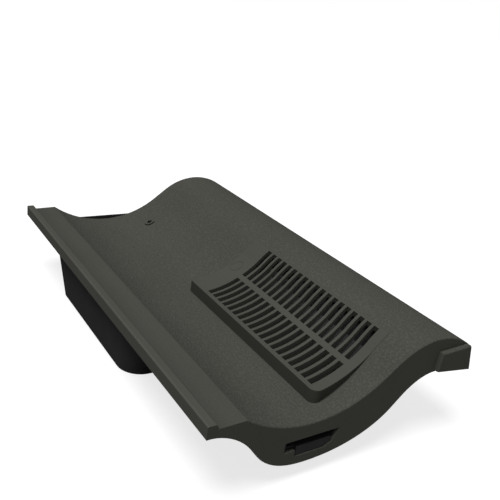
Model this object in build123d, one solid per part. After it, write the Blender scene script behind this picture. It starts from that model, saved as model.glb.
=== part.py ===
from build123d import *
from math import atan2, acos, cos, hypot, radians, sin, tan
import os

# A pantile with a moulded ventilator grille, and the black duct tray under it.
# Millimetres. While a piece is drawn, X runs across the tile from the outer face
# of its left rail, Y runs up the slope from the nose, Z is up from the rail's
# underside. The last step sets the part on the middle of its base.

# Cutting solids reach this far past the part, and this far past a single face.
reach = 80.0
past = 1.0

# Format of the tile.
tile_length = 387.0
tile_width = 231.0
skin = 3.2

# Side rail and water channel on the left.
rail_height = 9.7
rail_top_width = 6.35
rail_foot_x = 8.1
rail_round = 0.8
channel_z = 6.1
crease_x = 28.3

# S section: pan arc, straight flank, roll arc. How high the roll stands follows
# from these, because the flank is a tangent to both arcs.
pan_low = (83.6, -11.15)
pan_radius = 95.3
flank_length = 17.66
roll_radius = 59.2
roll_inset = 38.9
lap_depth = 6.9

# Nose apron: how deep its scalloped lower edge hangs below the upper surface, at
# x from the left and at insets from the right edge. Then the lap block in front
# of it, by insets from the right edge and heights from the roll's edge.
apron_foot_x = 3.8
apron_left = [(19, 11.1), (31.7, 18.9), (43, 26.6), (57.4, 30.9), (85, 31.4)]
apron_right = [(104, 34.9), (78.6, 38.6), (61, 33.0), (41, 28.5)]
apron_lap_inset = 31.0
block_depth = 4.0
block_outline = [(38.0, -11.8), (36.5, 3.4), (6.2, 4.4), (1.3, -17.2)]
block_round = 1.2
nose_round = 0.7

# Drain slot through the apron.
drain_outline = [(62.2, -22.0), (108.6, -22.0), (103.4, -32.4), (97.0, -35.6),
                 (71.6, -35.6), (71.6, -30.6), (62.2, -30.6)]

# Ventilator cowl, its plan skewed to the tile's length.
cowl_left = 93.5
cowl_right = 167.0
cowl_skew = 0.163
cowl_nose_y = 15.1
cowl_head_y = 199.0
cowl_low_x = 97.0
cowl_low_z = 0.2
cowl_radius = 98.5
cowl_blend_x = 150.5
cowl_lift = 0.5
cowl_wall = 2.6
cowl_cap = 2.6
cowl_corner = 6.0
cowl_round = 0.5

# Grille.
slot_rows = 19
slot_pitch = 8.09
slot_width = 5.35
slot_first_y = 30.2
slot_datum_x = 130.0
slot_left = 97.6
bar_left = 130.3
bar_right = 135.3
slot_right = 165.1
fin_depth = 6.0

# Gate mark on the cowl's plateau: a ring groove.
mark_at = (138.1, 197.0)
mark_radius = 6.2
mark_width = 0.7
mark_depth = 0.25

# Nail boss.
nail_at = (119.6, 347.7)
nail_radius = 2.4
boss_radius = 5.0
boss_height = 1.3

# Duct tray.
wall = 2.5
seat_gap = 0.2
flange = 6.0
duct_base_z = -55.0
duct_x = (15.0, 180.0)
duct_y = (151.0, 310.0)
duct_draft = 3.5
duct_head_draft = 21.5
duct_nose_corner = 20.0
duct_head_corner = 6.0
mouth_rim = 7.0
tray_left = 64.0
tray_right = 170.0
tray_gap = 0.4
tray_floor_z = -28.7
tray_bend_x = 104.0
tray_brow_z = 2.0
tray_margin = 1.5
weir_height = 7.0
lip_x = (73.0, 102.6)
lip_drop = 6.4
lip_bevel = 5.4
lip_setback = 0.8
hook_x = (55.5, 113.0)
hook_wall = 2.2
hook_gap = 0.3
hook_top_z = -8.0
hook_foot_z = -30.0
tongue_overlap = 10.0


def arc_centres():
    """Centres of the pan arc and the roll arc, the flank's length apart along their tangent."""
    pan = (pan_low[0], pan_low[1] + pan_radius)
    roll_x = tile_width - roll_inset
    fall = ((pan_radius + roll_radius) ** 2 + flank_length ** 2 - (roll_x - pan[0]) ** 2) ** 0.5
    return pan, (roll_x, pan[1] - fall)


pan_centre, roll_centre = arc_centres()


def flank_direction():
    """Angle of the line from the pan arc's centre to its end on the flank."""
    dx = roll_centre[0] - pan_centre[0]
    dz = roll_centre[1] - pan_centre[1]
    reach_share = (pan_radius + roll_radius) / hypot(dx, dz)
    return atan2(dz, dx) - acos(reach_share)


def pan_z(x, drop=0.0):
    """Height of the pan arc at x, drop below the outer surface."""
    return pan_centre[1] - ((pan_radius + drop) ** 2 - (x - pan_centre[0]) ** 2) ** 0.5


def roll_z(x, drop=0.0):
    """Height of the roll arc at x, drop below the outer surface."""
    return roll_centre[1] + ((roll_radius - drop) ** 2 - (x - roll_centre[0]) ** 2) ** 0.5


def surface_z(x):
    """Height of the upper surface at x: channel, pan, flank or roll."""
    turn = flank_direction()
    foot_x = pan_centre[0] + pan_radius * cos(turn)
    brow_x = roll_centre[0] - roll_radius * cos(turn)
    if x < crease_x:
        share = (x - rail_foot_x) / (crease_x - rail_foot_x)
        return channel_z + share * (pan_z(crease_x) - channel_z)
    if x < foot_x:
        return pan_z(x)
    if x < brow_x:
        return pan_z(foot_x) - (x - foot_x) / tan(turn)
    return roll_z(x)


def at(x, z, y=0.0):
    return Vector(x, y, z)


def s_curve(drop, x_start, x_end):
    """Edges of the S section from pan to roll, drop below the outer surface."""
    turn = flank_direction()
    reach_pan = pan_radius + drop
    reach_roll = roll_radius - drop
    foot = (pan_centre[0] + reach_pan * cos(turn), pan_centre[1] + reach_pan * sin(turn))
    brow = (roll_centre[0] - reach_roll * cos(turn), roll_centre[1] - reach_roll * sin(turn))
    pan_mid = (x_start + foot[0]) / 2
    roll_mid = (brow[0] + x_end) / 2
    pan = ThreePointArc(at(x_start, pan_z(x_start, drop)), at(pan_mid, pan_z(pan_mid, drop)), at(*foot))
    flank = Line(at(*foot), at(*brow))
    roll = ThreePointArc(at(*brow), at(roll_mid, roll_z(roll_mid, drop)), at(x_end, roll_z(x_end, drop)))
    return [pan, flank, roll]


def chain(points):
    """Straight edges through (x, z) points."""
    return [Line(at(*a), at(*b)) for a, b in zip(points, points[1:])]


def along_tile(edges, y_start, y_end):
    """Solid with the section that the edges close, from y_start to y_end."""
    section = make_face(edges)
    return Pos(0, y_start, 0) * extrude(section, amount=y_end - y_start, dir=(0, 1, 0))


def outline(points):
    """Straight closed outline through (x, z) points."""
    return chain(points + [points[0]])


def upright(points, z_start, z_end):
    """Prism with a straight plan through (x, y) points."""
    plan = make_face(Polyline([Vector(x, y, z_start) for x, y in points], close=True))
    return extrude(plan, amount=z_end - z_start, dir=(0, 0, 1))


def top_edges():
    """Upper side of the tile's section: rail, channel, pan, flank and roll."""
    channel = [(0, 0), (0, rail_height), (rail_top_width, rail_height), (rail_foot_x, channel_z),
               (crease_x, pan_z(crease_x))]
    return chain(channel) + s_curve(0, crease_x, tile_width)


def under_edges(drop, x_end):
    """Under side of the skin: channel, pan, flank and roll, drop below the top."""
    start = crease_x - drop / 2
    return chain([(skin, channel_z - drop), (start, pan_z(start, drop))]) + s_curve(drop, start, x_end)


def skin_body():
    inner = tile_width - skin
    lap_z = roll_z(tile_width) - lap_depth
    closing = chain([(tile_width, roll_z(tile_width)), (tile_width, lap_z), (inner, lap_z),
                     (inner, roll_z(inner, skin))])
    rail_foot = chain([(skin, channel_z - skin), (skin, 0), (0, 0)])
    return along_tile(top_edges() + closing + under_edges(skin, inner) + rail_foot, 0, tile_length)


def apron_body():
    """Nose wall: the tile's section above, a smooth scallop below."""
    lap_z = roll_z(tile_width) - lap_depth
    lap_x = tile_width - apron_lap_inset
    places = apron_left + [(tile_width - inset, depth) for inset, depth in apron_right]
    edge = [(apron_foot_x, 0)] + [(x, surface_z(x) - depth) for x, depth in places]
    edge.append((lap_x, edge[-1][1]))
    scallop = Spline([at(x, z) for x, z in edge])
    lap = chain([(tile_width, roll_z(tile_width)), (tile_width, lap_z), (lap_x, lap_z), edge[-1]])
    foot = Line(at(0, 0), at(apron_foot_x, 0))
    return along_tile(top_edges() + lap + [scallop, foot], 0, skin)


def lap_block():
    """Block in front of the nose, its upper, left and front edges rounded."""
    edge_z = roll_z(tile_width)
    corners = [(tile_width - inset, edge_z + rise) for inset, rise in block_outline]
    block = along_tile(outline(corners), -block_depth, 0)
    front = block.faces().sort_by(Axis.Y)[0]
    left_and_top = front.edges().sort_by(lambda e: e.center().X - e.center().Z)[:2]
    return fillet(left_and_top, block_round)


def cowl_plan(inset):
    """Skewed plan of the cowl, inset from its outer faces."""
    left = cowl_left + inset
    right = cowl_right - inset
    nose = cowl_nose_y + inset
    head = cowl_head_y - inset
    lean = cowl_skew * (right - cowl_left)
    step = cowl_skew * inset
    return [(left, nose + step), (right, nose + lean), (right, head + lean), (left, head + step)]


def cowl_z(x, drop):
    """Height of the cowl's own arc at x, drop under its surface."""
    return cowl_low_z + cowl_radius - ((cowl_radius + drop) ** 2 - (x - cowl_low_x) ** 2) ** 0.5


def cowl_under(drop, z_foot):
    """Everything below the cowl's top, drop under its surface, down to z_foot.

    The top is level at the left wall and rises in an arc to the flank of the
    roll, which it then follows a little above the tile's own surface.
    """
    start = cowl_left - cowl_wall
    middle = (start + cowl_blend_x) / 2
    arc_points = [at(x, cowl_z(x, drop)) for x in (start, middle, cowl_blend_x)]
    sides = chain([(cowl_blend_x, cowl_z(cowl_blend_x, drop)), (cowl_blend_x, z_foot), (start, z_foot),
                   (start, cowl_z(start, drop))])
    bowl = along_tile([ThreePointArc(*arc_points)] + sides, 0, tile_length)
    end = cowl_right + cowl_wall
    raised = drop - cowl_lift
    walls = chain([(end, roll_z(end, raised)), (end, z_foot), (start, z_foot), (start, pan_z(start, raised))])
    return bowl + along_tile(s_curve(raised, start, end) + walls, 0, tile_length)


def above_skin(drop):
    """Everything above the skin's surface lowered by drop."""
    right = tile_width - skin
    left = crease_x
    lid = chain([(right, roll_z(right, drop)), (right, reach), (left, reach), (left, pan_z(left, drop))])
    return along_tile(s_curve(drop, left, right) + lid, 0, tile_length)


def round_rim(body):
    """Small round along the cowl's outer rim, but not along the seams within its top."""
    rim = []
    for edge in body.edges():
        start, middle, end = edge @ 0, edge @ 0.5, edge @ 1
        lowest = min(start.Z - surface_z(start.X), end.Z - surface_z(end.X))
        from_side = min(middle.X - cowl_left, cowl_right - middle.X)
        is_seam = abs(start.X - end.X) < past / 1000 and from_side > past
        if lowest > 0 and not is_seam:
            rim.append(edge)
    return fillet(rim, cowl_round)


def cowl_body():
    block = upright(cowl_plan(0), -reach, reach)
    corner = block.edges().filter_by(Axis.Z).sort_by(lambda e: e.center().X + e.center().Y)[0]
    block = fillet(corner, cowl_corner)
    return round_rim((block & cowl_under(0, -reach)) & above_skin(skin / 2))


def skewed_plan(x_a, x_b, y_a, y_b):
    """Plan that leans with the grille, its y values taken on the slot datum."""
    shift_a = cowl_skew * (x_a - slot_datum_x)
    shift_b = cowl_skew * (x_b - slot_datum_x)
    return [(x_a, y_a + shift_a), (x_b, y_a + shift_b), (x_b, y_b + shift_b), (x_a, y_b + shift_a)]


def fin_field():
    """Where the bars between the slots are deep fins, with a bar's width at either end."""
    bar = slot_pitch - slot_width
    y_start = slot_first_y - bar
    y_end = slot_first_y + slot_rows * slot_pitch
    plan = skewed_plan(cowl_left + cowl_wall / 2, cowl_right - cowl_wall / 2, y_start, y_end)
    return upright(plan, -reach, reach) - cowl_under(fin_depth, -2 * reach)


def cowl_cavity():
    block = upright(cowl_plan(cowl_wall), -reach, reach)
    corner = block.edges().filter_by(Axis.Z).sort_by(lambda e: e.center().X + e.center().Y)[0]
    block = fillet(corner, cowl_corner - cowl_wall)
    return (block & cowl_under(cowl_cap, -reach)) - fin_field()


def slot_cutters():
    """Two columns of skewed slots, either side of the middle bar."""
    cutters = []
    for row in range(slot_rows):
        y_near = slot_first_y + row * slot_pitch
        for x_a, x_b in ((slot_left, bar_left), (bar_right, slot_right)):
            cutters.append(upright(skewed_plan(x_a, x_b, y_near, y_near + slot_width), -reach, reach))
    return cutters


def gate_mark():
    ring = Cylinder(mark_radius, 2 * reach) - Cylinder(mark_radius - mark_width, 2 * reach)
    return Pos(*mark_at, 0) * ring - cowl_under(mark_depth, -2 * reach)


def nail_boss():
    post = Pos(*nail_at, 0) * Cylinder(boss_radius, 2 * reach)
    layer = above_skin(skin / 2) - above_skin(-boss_height)
    return post & layer


def round_rail(body):
    """Small rounds along the rail's two upper edges."""
    along = body.edges().filter_by(Axis.Y)
    top = [e for e in along if abs(e.center().Z - rail_height) < past / 10 and e.center().X < rail_foot_x]
    return fillet(top, rail_round)


def round_nose(body):
    """Small round along the pan, flank and roll where the top meets the nose face."""
    flank_mid = s_curve(0, crease_x, tile_width)[1] @ 0.5
    rim = []
    for edge in body.edges():
        box = edge.bounding_box()
        on_nose = abs(box.min.Y) < past / 1000 and abs(box.max.Y) < past / 1000
        is_arc = edge.geom_type == GeomType.CIRCLE and edge.length > 2 * rail_foot_x
        is_flank = (edge @ 0.5 - flank_mid).length < past
        if on_nose and (is_arc or is_flank):
            rim.append(edge)
    return fillet(rim, nose_round)


def tile_cover():
    body = round_nose(round_rail(skin_body() + apron_body()))
    body = body + lap_block()
    body = body + cowl_body()
    body = body - cowl_cavity()
    body = body - slot_cutters()
    body = body - gate_mark()
    body = body + nail_boss()
    body = body - Pos(*nail_at, 0) * Cylinder(nail_radius, 2 * reach)
    body = body - along_tile(outline(drain_outline), -block_depth, skin + past)
    return body


def duct_plan(x_a, x_b, y_a, y_b, inset, z):
    """Rectangle with wide corners at the nose end and tight ones at the head end."""
    corners = [(x_a, y_a, z), (x_b, y_a, z), (x_b, y_b, z), (x_a, y_b, z)]
    plan = make_face(Polyline([Vector(*p) for p in corners], close=True))
    nose = plan.vertices().group_by(Axis.Y)[0]
    plan = fillet(nose, duct_nose_corner - inset)
    head = plan.vertices().group_by(Axis.Y)[-1]
    return fillet(head, duct_head_corner - inset)


def duct_loft(inset, z_foot):
    """Drafted duct with rounded upright corners, inset from its outer faces."""
    levels = []
    for z in (z_foot, roll_z(roll_centre[0]) + skin):
        rise = z - duct_base_z
        side = rise * tan(radians(duct_draft)) - inset
        head = rise * tan(radians(duct_head_draft)) - inset
        sides = (duct_x[0] - side, duct_x[1] + side)
        ends = (duct_y[0] - side, duct_y[1] + head)
        levels.append(duct_plan(*sides, *ends, inset, z))
    return loft(levels)


def below_skin(drop):
    """Everything below the skin's surface lowered by drop."""
    right = tile_width - skin
    floor = duct_base_z - past
    sides = chain([(right, roll_z(right, drop)), (right, floor), (skin, floor), (skin, channel_z - drop)])
    return along_tile(under_edges(drop, right) + sides, 0, tile_length + reach)


def tray_section(inset, side_height):
    """Cross section of the drain tray: level floor, sloped floor, sides of one height."""
    left = tray_left + inset
    right = tray_right - inset
    down = inset - wall
    return [(left, tray_floor_z + side_height), (left, tray_floor_z + down), (tray_bend_x, tray_floor_z + down),
            (right, tray_brow_z + down), (right, tray_brow_z + side_height),
            (tray_bend_x, tray_floor_z + side_height)]


def drip_lip():
    """Front edge of the tray, folded down through the drain slot."""
    top = tray_floor_z
    section = [(lip_x[0], top), (lip_x[1], top), (lip_x[1], top - lip_drop / 2),
               (lip_x[1] - lip_bevel, top - lip_drop), (lip_x[0], top - lip_drop)]
    return along_tile(outline(section), lip_setback, skin + tray_gap + wall)


def batten_hook():
    """Head tongue under the pan, ending in an upstand and a hanging nib."""
    end_y = tile_length + hook_gap + hook_wall
    tongue_start = duct_y[1] + tongue_overlap
    layer = below_skin(skin + seat_gap) - below_skin(skin + seat_gap + wall)
    width = hook_x[1] - hook_x[0]
    middle_x = (hook_x[0] + hook_x[1]) / 2
    strip = Pos(middle_x, (tongue_start + end_y) / 2, 0) * Box(width, end_y - tongue_start, 2 * reach)
    height = hook_top_z - hook_foot_z
    plate = Pos(middle_x, end_y - hook_wall / 2, (hook_top_z + hook_foot_z) / 2) * Box(width, hook_wall, height)
    return (layer & strip) + plate


def tray_prism(inset, side_height, y_start, y_end):
    return along_tile(outline(tray_section(inset, side_height)), y_start, y_end)


def duct_tray():
    """Duct and tray in one: the tray runs on under the grille's head, inside the duct,
    where its sides are low weirs for the air to pass over."""
    under = below_skin(skin + seat_gap)
    layer = under - below_skin(skin + seat_gap + wall)
    tray_start = skin + tray_gap
    tray_end = cowl_head_y + cowl_skew * (tray_right - cowl_left) + tray_margin + wall
    outer = duct_loft(0, duct_base_z) + tray_prism(0, reach, tray_start, duct_y[0] + 2 * wall)
    rim_width = tray_right - tray_left + 2 * flange
    rim_length = duct_y[0] - tray_start
    rim_at = ((tray_left + tray_right) / 2, (tray_start + duct_y[0]) / 2)
    rims = duct_loft(-flange, duct_base_z) + Pos(*rim_at, 0) * Box(rim_width, rim_length, 2 * reach)
    body = (outer & under) + (rims & layer) + batten_hook()
    low_tray = tray_prism(0, weir_height, tray_start, tray_end)
    body = body - (duct_loft(wall, duct_base_z + wall) - low_tray)
    body = body - tray_prism(wall, reach, 0, tray_end - wall)
    mouth = duct_plan(duct_x[0] + mouth_rim, duct_x[1] - mouth_rim, duct_y[0] + mouth_rim,
                      duct_y[1] - mouth_rim, wall, duct_base_z - past)
    body = body - extrude(mouth, amount=wall + 2 * past, dir=(0, 0, 1))
    return body + (drip_lip() & under)


def place(shape):
    """Origin on the middle of the base of the whole part."""
    y_far = tile_length + hook_gap + hook_wall
    return Pos(-tile_width / 2, -(y_far - block_depth) / 2, -duct_base_z) * shape


os.makedirs("parts", exist_ok=True)
for name, shape in (("tile_cover", tile_cover()), ("duct_tray", duct_tray())):
    placed = place(shape)
    print(name, "solids", len(placed.solids()), "volume", round(placed.volume), "valid", placed.is_valid)
    print(placed.bounding_box())
    export_step(placed, "parts/" + name + ".step")
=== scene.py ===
import bpy
import math
import numpy as np
from mathutils import Matrix, Vector


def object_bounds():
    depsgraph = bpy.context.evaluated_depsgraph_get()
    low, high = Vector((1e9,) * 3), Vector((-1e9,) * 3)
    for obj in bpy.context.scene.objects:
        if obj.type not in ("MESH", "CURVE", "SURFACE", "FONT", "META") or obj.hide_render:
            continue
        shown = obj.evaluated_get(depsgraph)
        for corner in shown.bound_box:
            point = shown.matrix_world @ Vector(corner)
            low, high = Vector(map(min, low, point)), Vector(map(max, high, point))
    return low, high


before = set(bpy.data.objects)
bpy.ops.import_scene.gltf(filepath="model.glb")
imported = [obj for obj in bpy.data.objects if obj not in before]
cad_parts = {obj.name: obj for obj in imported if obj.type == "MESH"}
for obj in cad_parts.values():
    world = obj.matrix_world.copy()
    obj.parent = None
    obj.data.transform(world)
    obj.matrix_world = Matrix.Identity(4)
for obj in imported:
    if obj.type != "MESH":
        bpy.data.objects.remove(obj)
cad_low, cad_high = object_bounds()

# The duct tray: one black plastic moulding that hangs under the tile, with the
# duct box, the drain tray that runs to the nose and the nib at the head. It is
# seated a hair under the tile's skin and left as it came out of its mould.

MILLIMETRE = 0.001
DUCT_BLACK = (0.0400, 0.0400, 0.0412)
DUCT_SHADES = {"darkest": 0.88, "lightest": 1.14}
DUCT_MOTTLE = 18 * MILLIMETRE
DUCT_GRAIN = 0.7 * MILLIMETRE
DUCT_GRAIN_DEPTH = 0.12 * MILLIMETRE
DUCT_ROUGHNESS = 0.72


class Value:
    """One output socket of a shader. Arithmetic on it adds the Math node of that name."""

    def __init__(self, graph, socket):
        self.graph = graph
        self.socket = socket

    def math(self, operation, first, second):
        return self.graph.node("ShaderNodeMath", {"operation": operation}, {0: first, 1: second})

    def __add__(self, other):
        return self.math("ADD", self, other)

    def __radd__(self, other):
        return self.math("ADD", other, self)

    def __sub__(self, other):
        return self.math("SUBTRACT", self, other)

    def __rsub__(self, other):
        return self.math("SUBTRACT", other, self)

    def __mul__(self, other):
        return self.math("MULTIPLY", self, other)

    def __rmul__(self, other):
        return self.math("MULTIPLY", other, self)

    def clamped(self):
        """The value kept between 0 and 1."""
        return self.graph.node("ShaderNodeClamp", {}, {"Value": self})


class Graph:
    """The node graph of a material, or of the world."""

    def __init__(self, owner):
        self.owner = owner
        owner.use_nodes = True
        self.tree = owner.node_tree

    def node(self, kind, settings, inputs, output=0):
        """A node of that kind, its settings made first, then its sockets set or linked."""
        made = self.tree.nodes.new(kind)
        for key, value in settings.items():
            setattr(made, key, value)
        for key, value in inputs.items():
            self.feed(made.inputs[key], value)
        return Value(self, made.outputs[output])

    def beside(self, value, output):
        """Another output of the node that the value comes from."""
        return Value(self, value.socket.node.outputs[output])

    def feed(self, socket, value):
        """Links the socket to a value, or sets it to a plain number or colour."""
        if isinstance(value, Value):
            self.tree.links.new(value.socket, socket)
        else:
            socket.default_value = value

    def shader(self, **sockets):
        """Sets or links the sockets of the material's own shader."""
        surface = self.tree.nodes["Principled BSDF"]
        for key, value in sockets.items():
            self.feed(surface.inputs[key.replace("_", " ")], value)

    def place(self):
        """A point's place in the frame, in metres."""
        return self.node("ShaderNodeTexCoord", {}, {}, "Object")

    def axes(self, vector):
        """The vector's X, Y and Z, as three values."""
        x = self.node("ShaderNodeSeparateXYZ", {}, {"Vector": vector}, "X")
        return x, self.beside(x, "Y"), self.beside(x, "Z")

    def noise(self, size, detail, stretch=(1, 1, 1)):
        """Noise from 0 to 1 whose lumps are about size metres wide, longer along a stretched axis."""
        scale = tuple(1 / (size * factor) for factor in stretch)
        at = self.node("ShaderNodeMapping", {}, {"Vector": self.place(), "Scale": scale})
        return self.node("ShaderNodeTexNoise", {}, {"Vector": at, "Scale": 1.0, "Detail": detail})

    def step(self, value, low, high):
        """0 below low and 1 above high, with a smooth rise between them."""
        ends = {"Value": value, "From Min": low, "From Max": high}
        return self.node("ShaderNodeMapRange", {"interpolation_type": "SMOOTHSTEP"}, ends)

    def blend(self, share, first, second):
        """Colour that goes from first to second as share goes from 0 to 1.

        The Mix node has several sockets of one name, so the colour ones go by number."""
        sockets = {0: share, 6: first, 7: second}
        return self.node("ShaderNodeMix", {"data_type": "RGBA"}, sockets, 2)

    def bump(self, height, strength, depth):
        """The surface's direction, tilted as if it stood up by height times depth metres."""
        return self.node("ShaderNodeBump", {}, {"Height": height, "Strength": strength, "Distance": depth})


def shade(colour, factor):
    """The colour made lighter or darker by the factor, with full alpha."""
    return tuple(channel * factor for channel in colour) + (1.0,)


def duct_plastic():
    """Black plastic with a fine, even and matte skin."""
    graph = Graph(bpy.data.materials.new("duct_plastic_black"))
    mottle = graph.noise(DUCT_MOTTLE, detail=3.0)
    darkest = shade(DUCT_BLACK, DUCT_SHADES["darkest"])
    lightest = shade(DUCT_BLACK, DUCT_SHADES["lightest"])
    colour = graph.blend(mottle, darkest, lightest)
    normal = graph.bump(graph.noise(DUCT_GRAIN, detail=2.0), strength=0.35, depth=DUCT_GRAIN_DEPTH)
    roughness = DUCT_ROUGHNESS + 0.1 * mottle
    graph.shader(Base_Color=colour, Roughness=roughness, Normal=normal, Specular_IOR_Level=0.0)
    return graph.owner


def finish(node, material):
    """Gives a node of the frame its material."""
    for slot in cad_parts[node].material_slots:
        slot.material = material


finish("duct_tray", duct_plastic())

# The tile cover: one olive grey plastic moulding, nailed to the batten through the
# boss at its head. The weather side of its S-shaped skin has a pebbled grain, and
# the ventilator cowl, the rail, the apron and the lap block are smooth.

TILE_GREY = (0.0762, 0.0757, 0.0665)
PEBBLE = 1.7 * MILLIMETRE
PEBBLE_DEPTH = 0.30 * MILLIMETRE
FINE_GRAIN = 0.45 * MILLIMETRE
CLOUD = 55 * MILLIMETRE
STREAK = 3 * MILLIMETRE

# Places and sizes in millimetres, places across from the rail's outer side and up from
# the nose. The cowl's plan leans up the slope by its skew for each millimetre across,
# and the lap block stands before the nose.
LAP_BLOCK = 4.0
RAIL_EDGE = 2.2
RAIL_FOOT = 8.1
CREASE = 28.3
COWL = {"left": 93.5, "right": 167.0, "nose": 15.1, "head": 199.0, "skew": 0.163}
GRILLE_BORDER = 3.5
NAIL = (119.6, 347.7)
BOSS_RADIUS = 5.0

# The Z of a normal is below STEEP on sides and undersides, above LEVEL on the weather side.
STEEP = 0.35
LEVEL = 0.6

# What each mark adds to the tone, which runs from 0, the darkest, to 1, the lightest. The rail's edge mark
# is a painted highlight; the rail's foot, channel and cowl wall marks are painted shade.
TONES = {
    "clouds": 0.30, "streaks": 0.14, "fine_grain": 0.14, "pebbles": 0.42, "smooth": 0.20,
    "rail_edge_painted_highlight": 0.27, "rail_foot_painted_shade": -0.22, "channel": -0.20, "cowl_walls_painted_shade": -0.45}

# How light each part is against the tile's grey. The fin sides are lighter as painted light; the slots'
# left-facing ends and the steep faces round the nail are darker as painted shade.
SHADES = {"darkest": 0.76, "lightest": 1.27, "fin_sides_painted_light": 1.55, "slot_ends_painted_shade": 0.50, "nail_boss_painted_shade": 0.40}

# The share of the pebbles that the channel has.
CHANNEL_PEBBLES = 0.3
TILE_ROUGHNESS = 0.68


def band(graph, value, low, high, rise, fall):
    """1 from low to high, after a smooth rise below low and before a smooth fall above high."""
    return graph.step(value, low - rise, low) * (1 - graph.step(value, high, high + fall))


def tile_place(graph):
    """A point's place in millimetres, across from the rail's outer side and up from the nose.

    The nose lies above the box's lowest Y by what the lap block stands before it."""
    x, y, _ = graph.axes(graph.place())
    across = (x - cad_low.x) * (1 / MILLIMETRE)
    up_slope = (y - cad_low.y) * (1 / MILLIMETRE) - LAP_BLOCK
    return across, up_slope


def cowl_marks(graph, across, up_slope, upward, leftward):
    """1 on the cowl, on its outer wall faces, which take painted shade, on the sides of its fin bars,
    which take painted light, and on its slots' left-facing ends, which take painted shade.
    """
    leaning = up_slope - (across - COWL["left"]) * COWL["skew"]
    cowl = band(graph, across, COWL["left"], COWL["right"], rise=0.6, fall=0.8)
    cowl = cowl * band(graph, leaning, COWL["nose"], COWL["head"], rise=0.6, fall=1.5)
    grille_left = COWL["left"] + GRILLE_BORDER
    grille_nose = COWL["nose"] + GRILLE_BORDER
    sides = cowl * (1 - upward)
    fin_sides_painted_light = sides * graph.step(across, grille_left - 0.5, grille_left)
    fin_sides_painted_light = fin_sides_painted_light * graph.step(leaning, grille_nose - 0.5, grille_nose)
    # Returned: the cowl, its outer wall faces for painted shade, the fin sides for painted light, and
    # their left-facing ends for painted shade.
    return cowl, sides - fin_sides_painted_light, fin_sides_painted_light, fin_sides_painted_light * graph.step(leftward, 0.5, 0.8)


def nail_boss_shade_mark(graph, across, up_slope, upward):
    """1 on the steep faces round the nail, its bore and the wall of its raised ring: painted dark as
    shade.

    A point's squared distance from the nail is its squares across and up, added."""
    off_across = across - NAIL[0]
    off_up = up_slope - NAIL[1]
    squared = off_across * off_across + off_up * off_up
    inner = (BOSS_RADIUS + 0.4) ** 2
    outer = (BOSS_RADIUS + 0.8) ** 2
    return (1 - upward) * (1 - graph.step(squared, inner, outer))


def tile_plastic():
    """Olive grey plastic, pebbled on the skin's upper side and smooth on the cowl and the edges.

    The tone is the sum of the marks, each times its number in TONES, some of them painted highlight and
    painted shade. Over it go painted light on the fin sides and painted shade on the slot ends and round
    the nail."""
    graph = Graph(bpy.data.materials.new("tile_plastic_olive"))
    across, up_slope = tile_place(graph)
    facing_x, _, facing_z = graph.axes(graph.node("ShaderNodeNewGeometry", {}, {}, "Normal"))
    upward = graph.step(facing_z, STEEP, LEVEL)
    cowl, wall_painted_shade, fin_sides_painted_light, slot_ends_painted_shade = cowl_marks(graph, across, up_slope, upward, facing_x * -1)
    # Painted shade on the steep faces round the nail.
    nail_boss_painted_shade = nail_boss_shade_mark(graph, across, up_slope, upward)
    open_skin = upward * (1 - cowl) * graph.step(across, RAIL_FOOT - 1, RAIL_FOOT + 0.5)
    past_crease = graph.step(across, CREASE - 1, CREASE + 3)
    weather = open_skin * (CHANNEL_PEBBLES + (1 - CHANNEL_PEBBLES) * past_crease)
    # Painted shade: a dark line in the corner at the rail's foot, where shade falls.
    rail_foot_painted_shade = band(graph, across, RAIL_FOOT - 0.5, RAIL_FOOT + 0.5, rise=1.0, fall=1.5)

    # The middle of the pebbles' noise is spread from 0 to 1, for flat tops and clear gaps.
    clouds = graph.noise(CLOUD, detail=3.0, stretch=(0.6, 1.6, 1.0))
    fine_grain = graph.noise(FINE_GRAIN, detail=2.0)
    pebbles = graph.step(graph.noise(PEBBLE, detail=2.5), 0.38, 0.62) * weather
    marks = {
        "clouds": clouds,
        "streaks": graph.noise(STREAK, detail=2.0, stretch=(1.0, 40.0, 1.0)),
        "fine_grain": fine_grain,
        "pebbles": pebbles,
        "smooth": 1 - open_skin,
        # Painted highlight: the rail's rounded outer edge made lighter on its upper faces.
        "rail_edge_painted_highlight": (1 - graph.step(across, RAIL_EDGE - 1.4, RAIL_EDGE)) * upward,
        "rail_foot_painted_shade": rail_foot_painted_shade * graph.step(facing_z, 0.1, 0.3),
        # Painted shade: the channel darker beside the rail's foot, fading out over 14 mm.
        "channel": band(graph, across, RAIL_FOOT, RAIL_FOOT, rise=1.0, fall=14.0) * upward,
        # Painted shade: the cowl's outer wall faces made darker.
        "cowl_walls_painted_shade": wall_painted_shade}
    tone = sum(TONES[name] * mark for name, mark in marks.items()).clamped()

    darkest = shade(TILE_GREY, SHADES["darkest"])
    lightest = shade(TILE_GREY, SHADES["lightest"])
    colour = graph.blend(tone, darkest, lightest)
    # Painted light lifts the fin sides; painted shade darkens the slots' left-facing ends and the steep
    # faces round the nail.
    for name, mark in (("fin_sides_painted_light", fin_sides_painted_light), ("slot_ends_painted_shade", slot_ends_painted_shade), ("nail_boss_painted_shade", nail_boss_painted_shade)):
        colour = graph.blend(mark, colour, shade(TILE_GREY, SHADES[name]))
    normal = graph.bump(pebbles + 0.22 * fine_grain, strength=0.9, depth=PEBBLE_DEPTH)
    roughness = TILE_ROUGHNESS + 0.08 * weather + 0.06 * clouds
    graph.shader(Base_Color=colour, Roughness=roughness, Normal=normal, Specular_IOR_Level=0.0)
    return graph.owner


finish("tile_cover", tile_plastic())

# The stage: a plain floor under the duct's mouth that is seen as white, a pale room,
# one wide soft light from above and to the left, and the camera where the photograph
# was taken.

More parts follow.
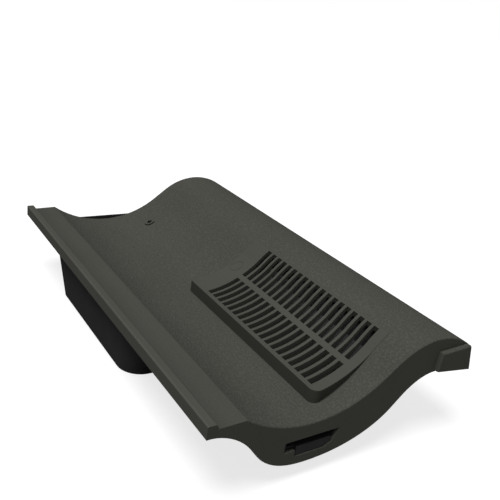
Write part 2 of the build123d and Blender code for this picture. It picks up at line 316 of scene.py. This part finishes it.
BLACK = (0.0, 0.0, 0.0, 1.0)
WHITE = (1.0, 1.0, 1.0, 1.0)
FLOOR_HALF = 6.0
FLOOR_PAPER = (0.36, 0.36, 0.36, 1.0)
FLOOR_LIFT = (0.76, 0.76, 0.76, 1.0)
ROOM_LIGHT = 0.18
SUN_STRENGTH = 2.72
SUN_WIDTH = math.radians(30)
TO_SUN = Vector((-0.31, -0.08, 0.95))
CAMERA_PLACE = Vector((-0.295158, -0.464306, 0.313548))
CAMERA_RIGHT = Vector((0.840033, -0.526437, 0.131181))
CAMERA_UP = Vector((0.100059, 0.387974, 0.916223))
LENS = 48.297
SENSOR_WIDTH = 36.0


def backdrop_share(graph):
    """1 for rays that show the background: seen straight, in gloss or through something."""
    seen = graph.node("ShaderNodeLightPath", {}, {}, "Is Camera Ray")
    glossy = graph.beside(seen, "Is Glossy Ray")
    through = graph.beside(seen, "Is Transmission Ray")
    return (seen + glossy + through).clamped()


def floor():
    """A level square of grey paper, 12 m wide, that keeps the shadow and is lifted to white in view."""
    corners = np.array([(-1, -1, 0), (1, -1, 0), (1, 1, 0), (-1, 1, 0)]) * FLOOR_HALF
    mesh = bpy.data.meshes.new("floor")
    mesh.from_pydata(corners.tolist(), [], [(0, 1, 2, 3)])
    piece = bpy.data.objects.new("floor", mesh)
    bpy.context.collection.objects.link(piece)
    graph = Graph(bpy.data.materials.new("floor_paper"))
    lift = graph.blend(backdrop_share(graph), BLACK, FLOOR_LIFT)
    graph.shader(Base_Color=FLOOR_PAPER, Roughness=1.0, Specular_IOR_Level=0.0)
    graph.shader(Emission_Color=lift, Emission_Strength=1.0)
    mesh.materials.append(graph.owner)


def room():
    """The world: an even pale light, white where it is seen."""
    world = bpy.data.worlds.new("room")
    bpy.context.scene.world = world
    graph = Graph(world)
    light = graph.node("ShaderNodeBackground", {}, {"Color": WHITE, "Strength": ROOM_LIGHT})
    white = graph.node("ShaderNodeBackground", {}, {"Color": WHITE, "Strength": 1.0})
    mix = graph.node("ShaderNodeMixShader", {}, {0: backdrop_share(graph), 1: light, 2: white})
    graph.feed(graph.tree.nodes["World Output"].inputs["Surface"], mix)


def sky_light():
    """A very wide soft sun, so that the light is the same all over the floor."""
    data = bpy.data.lights.new("sky_light", "SUN")
    data.energy = SUN_STRENGTH
    data.angle = SUN_WIDTH
    piece = bpy.data.objects.new("sky_light", data)
    piece.rotation_euler = TO_SUN.to_track_quat("Z", "Y").to_euler()
    bpy.context.collection.objects.link(piece)


def camera():
    """The camera that the tile's own edges in the photograph give. Its third axis points back."""
    data = bpy.data.cameras.new("camera")
    data.lens = LENS
    data.sensor_width = SENSOR_WIDTH
    piece = bpy.data.objects.new("camera", data)
    back = CAMERA_RIGHT.cross(CAMERA_UP)
    turn = Matrix((CAMERA_RIGHT, CAMERA_UP, back)).transposed().to_4x4()
    piece.matrix_world = Matrix.Translation(CAMERA_PLACE) @ turn
    bpy.context.collection.objects.link(piece)
    bpy.context.scene.camera = piece


floor()
room()
sky_light()
camera()
bpy.context.scene.view_settings.view_transform = "Standard"
